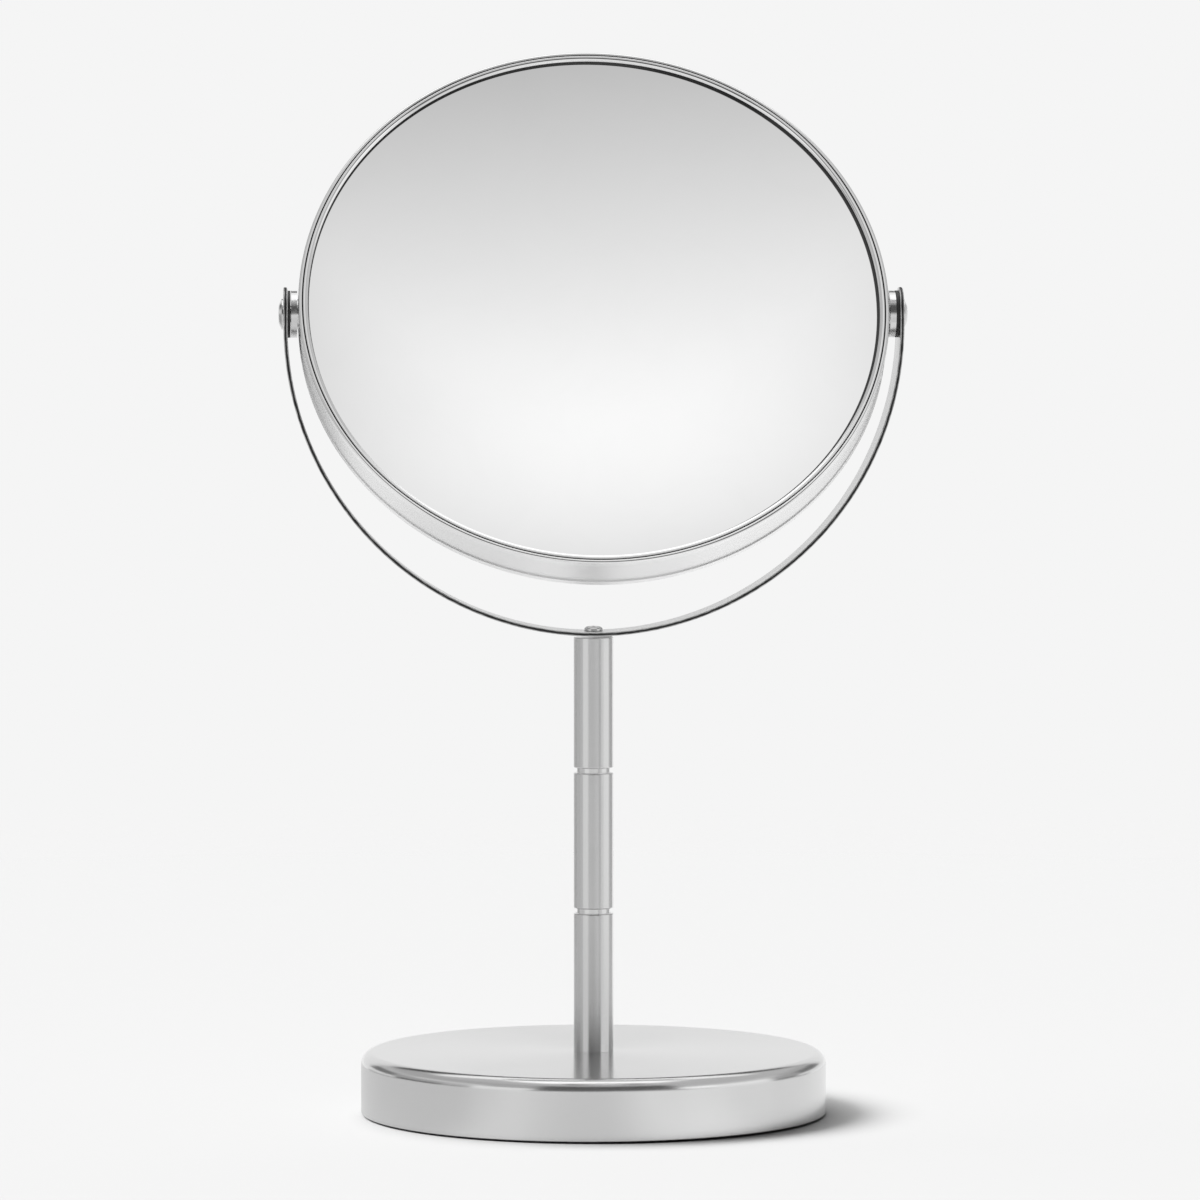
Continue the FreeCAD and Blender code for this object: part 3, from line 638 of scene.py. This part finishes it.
def make_bezel(name, node, place):
    """A folded ring with a groove in its crown. Its sheet follows the groove on the inside."""
    inner = VIEW_RADIUS + SHEET
    outer = DRUM_RADIUS - SHEET
    roof = CROWN - SHEET
    turned(name, section(
        (DRUM_RADIUS, SKIRT, 0.12), (DRUM_RADIUS, CROWN, 0.6),
        (GROOVE_RADIUS + GROOVE_HALF, CROWN, 0.25), (GROOVE_RADIUS, CROWN - GROOVE_DEPTH, 0.06),
        (GROOVE_RADIUS - GROOVE_HALF, CROWN, 0.25), (VIEW_RADIUS, CROWN, 1.0),
        (VIEW_RADIUS, GLASS_FACE, 0.1), (inner, GLASS_FACE, 0.1), (inner, roof, 0.4),
        (GROOVE_RADIUS - FOLD_HALF, roof, 0.1), (GROOVE_RADIUS, roof - FOLD_DEPTH, 0.1),
        (GROOVE_RADIUS + FOLD_HALF, roof, 0.1), (outer, roof, 0.3), (outer, SKIRT)),
        "mirror_head", [node], FINISHES["bezel_chrome"], place)


def make_head():
    outer = DRUM_RADIUS - SHEET
    inner = outer - BAND_WALL
    turned("side_band", section(
        (outer, -BAND_HALF), (outer, BAND_HALF), (inner, BAND_HALF), (inner, -BAND_HALF)),
        "mirror_head", ["drum_band"], FINISHES["band_steel"], HEAD)
    make_bezel("front_ring", "front_bezel", HEAD)
    make_bezel("rear_ring", "rear_bezel", HEAD @ TURNED_OVER)
    back = GLASS_FACE - GLASS_THICKNESS
    turned("plain_glass", section(
        (0, back), (GLASS_RADIUS, back, 0.3), (GLASS_RADIUS, GLASS_FACE, 0.3),
        (0, GLASS_FACE)),
        "mirror_head", ["front_mirror"], FINISHES["plain_mirror"], HEAD)
    contact = VIEW_RADIUS + SHEET
    centre = -GLASS_FACE - math.sqrt(DISH_RADIUS ** 2 - contact ** 2)
    dish = (bowl(DISH_RADIUS, centre, GLASS_RADIUS, -1)
            + bowl(DISH_RADIUS + DISH_THICKNESS, centre, GLASS_RADIUS, 1))
    turned("dished_glass", dish, "mirror_head", ["rear_mirror"],
           FINISHES["magnifying_mirror"], HEAD)


make_head()


# Studio: a pale floor, soft light, and what the metal mirrors

PAPER = 0.913
AMBIENT = 0.12


def directions(tree):
    """Azimuth from the front of the object, positive to the right, and elevation, in degrees."""
    unit = add(tree, "ShaderNodeVectorMath", {0: own_place(tree)}, operation="NORMALIZE")
    x, y, z = split(tree, unit.outputs[0])
    azimuth = compute(tree, "ARCTAN2", x, compute(tree, "MULTIPLY", y, -1.0))
    elevation = compute(tree, "ARCSINE", z)
    return compute(tree, "DEGREES", azimuth), compute(tree, "DEGREES", elevation)


def blend(tree, share, without, within):
    """Without where the share is 0, within where it is 1."""
    made = add(tree, "ShaderNodeMix", data_type="FLOAT")
    for socket, value in zip((0, 2, 3), (share, without, within)):
        if isinstance(value, bpy.types.NodeSocket):
            tree.links.new(value, made.inputs[socket])
        else:
            made.inputs[socket].default_value = value
    return made.outputs[0]


def glow(name, brightness_of):
    """A material that only shines, with a brightness from nodes, and lights nothing directly."""
    material = bpy.data.materials.new(name)
    material.use_nodes = True
    tree = material.node_tree
    tree.nodes.clear()
    emission = add(tree, "ShaderNodeEmission", {"Strength": brightness_of(tree)})
    output = add(tree, "ShaderNodeOutputMaterial")
    tree.links.new(emission.outputs[0], output.inputs["Surface"])
    material.cycles.emission_sampling = "NONE"
    return material


# Brightness round the studio is given by zones of azimuth: the brightness behind the object, and
# then, from its left past the front to its right, the azimuth where each zone starts and the
# brightness of that zone. The last zone ends behind the object, so it is as bright as the first.

ZONE_BLEND = 3.0


def by_azimuth(tree, azimuth, behind, *zones, soft=ZONE_BLEND):
    """The brightness in the zones, which blend over soft degrees each side of where they start."""
    level = behind
    for start, brightness in zones:
        level = blend(tree, ramp(tree, azimuth, start - soft, start + soft), level, brightness)
    return level


# The walls that only the metal sees: a pale floor, screens at both sides, a dark camera side, a
# backdrop and a bright ceiling. Each band of elevation takes over from the one below it between
# its first two angles.

BACKDROP = 0.905
BELOW = (0.9, (-116, 0.85), (116, 0.9))
BANDS = (
    (-18, -12, (1.0, (-150, 0.45), (-116, 0.72), (-66, 0.95), (28, 0.65), (58, 1.0), (97, 0.68),
                (116, 0.35), (130, 1.0))),
    (-0.5, 1.5, (BACKDROP, (-118, 0.1), (-84, 0.35), (-66, 0.95), (-35, 0.3), (3, 0.5), (45, 1.0),
                 (97, 0.25), (118, BACKDROP))),
    (6, 9, (BACKDROP, (-150, 0.2), (-122, 0.45), (-84, 0.6), (-66, 1.05), (-32, 0.14), (40, 1.3),
            (60, 1.1), (97, 0.45), (122, 0.2), (150, BACKDROP))),
    (18, 22, (BACKDROP, (-155, 0.6), (-108, 0.75), (-60, 0.5), (-32, 0.12), (40, 0.7), (108, 0.5),
              (155, BACKDROP))),
    (27, 31, (0.08, (-150, 0.5), (-32, 0.12), (40, 0.6), (150, 0.08))),
    (44, 50, (1.25, (-125, 0.6), (125, 1.25))),
    (64, 74, (1.6,)),
)
WALLS_RADIUS = 30
WALLS_DIVISIONS = 4


def walls_brightness(tree):
    azimuth, elevation = directions(tree)
    room = by_azimuth(tree, azimuth, *BELOW)
    for low, high, zones in BANDS:
        band = by_azimuth(tree, azimuth, *zones)
        room = blend(tree, ramp(tree, elevation, low, high), room, band)
    return room


def shown_only_in_metal(piece):
    piece.visible_camera = False
    piece.visible_diffuse = False
    piece.visible_shadow = False
    piece.visible_volume_scatter = False


def make_walls():
    room = bmesh.new()
    bmesh.ops.create_icosphere(room, subdivisions=WALLS_DIVISIONS, radius=WALLS_RADIUS)
    mesh = bpy.data.meshes.new("studio_walls")
    room.to_mesh(mesh)
    room.free()
    mesh.polygons.foreach_set("use_smooth", [True] * len(mesh.polygons))
    mesh.materials.append(glow("studio_walls", walls_brightness))
    walls = bpy.data.objects.new("studio_walls", mesh)
    bpy.context.scene.collection.objects.link(walls)
    shown_only_in_metal(walls)


# The screen that the plain glass mirrors, square to the glance off the glass's middle. Its own
# X and Y run along its width and its length. Its brightness rises down to a hot spot, and falls
# with the square of the way aside from the spot and of the way below the line of LOWER_PART.

SCREEN_DISTANCE = 1.2
SCREEN_ELEVATION = 2 * REST_TILT - 0.7
SCREEN_ASIDE = 0.05
SCREEN_WIDTH = 0.7
SCREEN_LENGTH = 0.5
SCREEN_MIDDLE = 0.886
SCREEN_RISE = -2.95
HOTSPOT = 1.028
HOTSPOT_ASIDE = 0.011
HOTSPOT_FALL = -12.1
LOWER_PART = -0.053
LOWER_FALL = 38.7
SCREEN_BLEND = 0.1
SCREEN_LEAST = 0.3


def screen_brightness(tree):
    x, y, _ = split(tree, own_place(tree))
    rise = compute(tree, "MULTIPLY_ADD", y, SCREEN_RISE, SCREEN_MIDDLE)
    aside = compute(tree, "SUBTRACT", x, HOTSPOT_ASIDE)
    hotspot = compute(tree, "MULTIPLY_ADD", compute(tree, "MULTIPLY", aside, aside),
                      HOTSPOT_FALL, HOTSPOT)
    below = compute(tree, "MAXIMUM", compute(tree, "SUBTRACT", LOWER_PART, y), 0.0)
    fall = compute(tree, "MULTIPLY", compute(tree, "MULTIPLY", below, below), LOWER_FALL)
    lit = compute(tree, "SMOOTH_MIN", rise, hotspot, SCREEN_BLEND)
    return compute(tree, "MAXIMUM", compute(tree, "SUBTRACT", lit, fall), SCREEN_LEAST)


def make_screen():
    angle = math.radians(SCREEN_ELEVATION)
    away = Vector((SCREEN_ASIDE, -math.cos(angle), math.sin(angle))).normalized()
    mesh = bpy.data.meshes.new("overhead_screen")
    half_x, half_y = SCREEN_WIDTH / 2, SCREEN_LENGTH / 2
    mesh.from_pydata([(-half_x, -half_y, 0), (half_x, -half_y, 0), (half_x, half_y, 0),
                      (-half_x, half_y, 0)], [], [(0, 1, 2, 3)])
    mesh.materials.append(glow("overhead_screen", screen_brightness))
    screen = bpy.data.objects.new("overhead_screen", mesh)
    bpy.context.scene.collection.objects.link(screen)
    screen.matrix_world = (Matrix.Translation(Vector((0, 0, PIVOT_HEIGHT * MM))
                                              + away * SCREEN_DISTANCE)
                           @ away.to_track_quat("Z", "Y").to_matrix().to_4x4())
    shown_only_in_metal(screen)


# Each lamp's direction from above, its height, its width and its share of the light on the
# floor; the angles are in degrees, and the first one turns from the right to the back.

SUNS = ((183, 45, 34, 0.8), (95, 60, 36, 0.4), (148, 50, 36, 0.45))
FLOOR_RADIUS = 1.4
FLOOR_SINK = 0.0001
TABLE_RADIUS = 0.3
FADE_START = 0.5
FADE_END = 1.1
MIRRORED_TONE = (1.0, (-150, 0.8), (-45, 0.95), (-18, 0.87), (12, 1.12), (48, 0.98), (80, 1.0))
TONE_BLEND = 12


def floor_paper():
    """Pale paper fading into the plain surround, with uneven light painted in the tone metal sees.
    """
    material, tree, shader = new_material("floor_paper")
    lit = AMBIENT + sum(share for *_, share in SUNS)
    azimuth, _ = directions(tree)
    # Painted light: seen in metal, the paper is painted lighter and darker by azimuth.
    mirrored = by_azimuth(tree, azimuth, *MIRRORED_TONE, soft=TONE_BLEND)
    in_metal = add(tree, "ShaderNodeLightPath").outputs["Is Glossy Ray"]
    tone = blend(tree, in_metal, 1.0, mirrored)
    paint(tree, shader, compute(tree, "MULTIPLY", tone, PAPER / lit))
    shader.inputs["Roughness"].default_value = 1.0
    shader.inputs["Specular IOR Level"].default_value = 0.0
    radius, _, _ = round_the_axis(tree)
    tree.links.new(ramp(tree, radius, FADE_START, FADE_END, 1.0, 0.0), shader.inputs["Alpha"])
    return material


def make_floor():
    """The floor, whose middle is the table that the object stands on; metal mirrors only that."""
    material = floor_paper()
    for name, inner, outer in (("table", 0, TABLE_RADIUS), ("floor", TABLE_RADIUS, FLOOR_RADIUS)):
        mesh = bpy.data.meshes.new(name)
        edge = [(math.cos(math.tau * n / TURNS), math.sin(math.tau * n / TURNS))
                for n in range(TURNS)]
        vertices = [(inner * x, inner * y, 0) for x, y in edge]
        vertices += [(outer * x, outer * y, 0) for x, y in edge]
        faces = [(n, TURNS + n, TURNS + (n + 1) % TURNS, (n + 1) % TURNS) for n in range(TURNS)]
        mesh.from_pydata(vertices, [], faces)
        mesh.materials.append(material)
        piece = bpy.data.objects.new(name, mesh)
        piece.location.z = -FLOOR_SINK
        piece.visible_glossy = inner == 0
        bpy.context.scene.collection.objects.link(piece)


def make_suns():
    """Soft lamps that only the base keeps from the floor."""
    casts = bpy.data.collections.new("casts_a_shadow")
    for piece in ("base_cup", "foot_pad", "base_cover"):
        casts.objects.link(bpy.data.objects[piece])
    for number, (azimuth, elevation, softness, share) in enumerate(SUNS):
        lamp = bpy.data.lights.new(f"soft_sun_{number}", "SUN")
        lamp.energy = share * math.pi / math.sin(math.radians(elevation))
        lamp.angle = math.radians(softness)
        sun = bpy.data.objects.new(f"soft_sun_{number}", lamp)
        sun.rotation_euler = (0, math.radians(90 - elevation), math.radians(azimuth))
        sun.visible_glossy = False
        sun.light_linking.blocker_collection = casts
        bpy.context.scene.collection.objects.link(sun)


def make_surround():
    """A faint light on everything, and for the camera the tone of the lit paper."""
    world = bpy.data.worlds.new("surround")
    world.use_nodes = True
    tree = world.node_tree
    seen = add(tree, "ShaderNodeLightPath").outputs["Is Camera Ray"]
    tree.links.new(blend(tree, seen, AMBIENT, PAPER),
                   tree.nodes["Background"].inputs["Strength"])
    tree.nodes["Background"].inputs["Color"].default_value = (1.0, 1.0, 1.0, 1.0)
    world.cycles_visibility.glossy = False
    world.cycles_visibility.transmission = False
    bpy.context.scene.world = world


make_walls()
make_screen()
make_floor()
make_suns()
make_surround()


# Camera, with its angles in degrees and its lens and sensor in millimetres

CAMERA_DISTANCE = 2.0
CAMERA_HEIGHT = 0.2638
CAMERA_AZIMUTH = 3.0
CAMERA_PITCH = 3.14
CAMERA_ASIDE = 0.056
CAMERA_LENS = 201.0
SENSOR_WIDTH = 36.0


def make_camera():
    data = bpy.data.cameras.new("camera")
    data.lens = CAMERA_LENS
    data.sensor_width = SENSOR_WIDTH
    data.clip_start = 0.1
    data.clip_end = 50.0
    camera = bpy.data.objects.new("camera", data)
    azimuth = math.radians(CAMERA_AZIMUTH)
    camera.location = (-CAMERA_DISTANCE * math.sin(azimuth),
                       -CAMERA_DISTANCE * math.cos(azimuth), CAMERA_HEIGHT)
    camera.rotation_euler = (math.radians(90 - CAMERA_PITCH), 0,
                             math.radians(-CAMERA_AZIMUTH - CAMERA_ASIDE))
    bpy.context.scene.collection.objects.link(camera)
    bpy.context.scene.camera = camera


make_camera()
bpy.context.scene.view_settings.view_transform = "Standard"
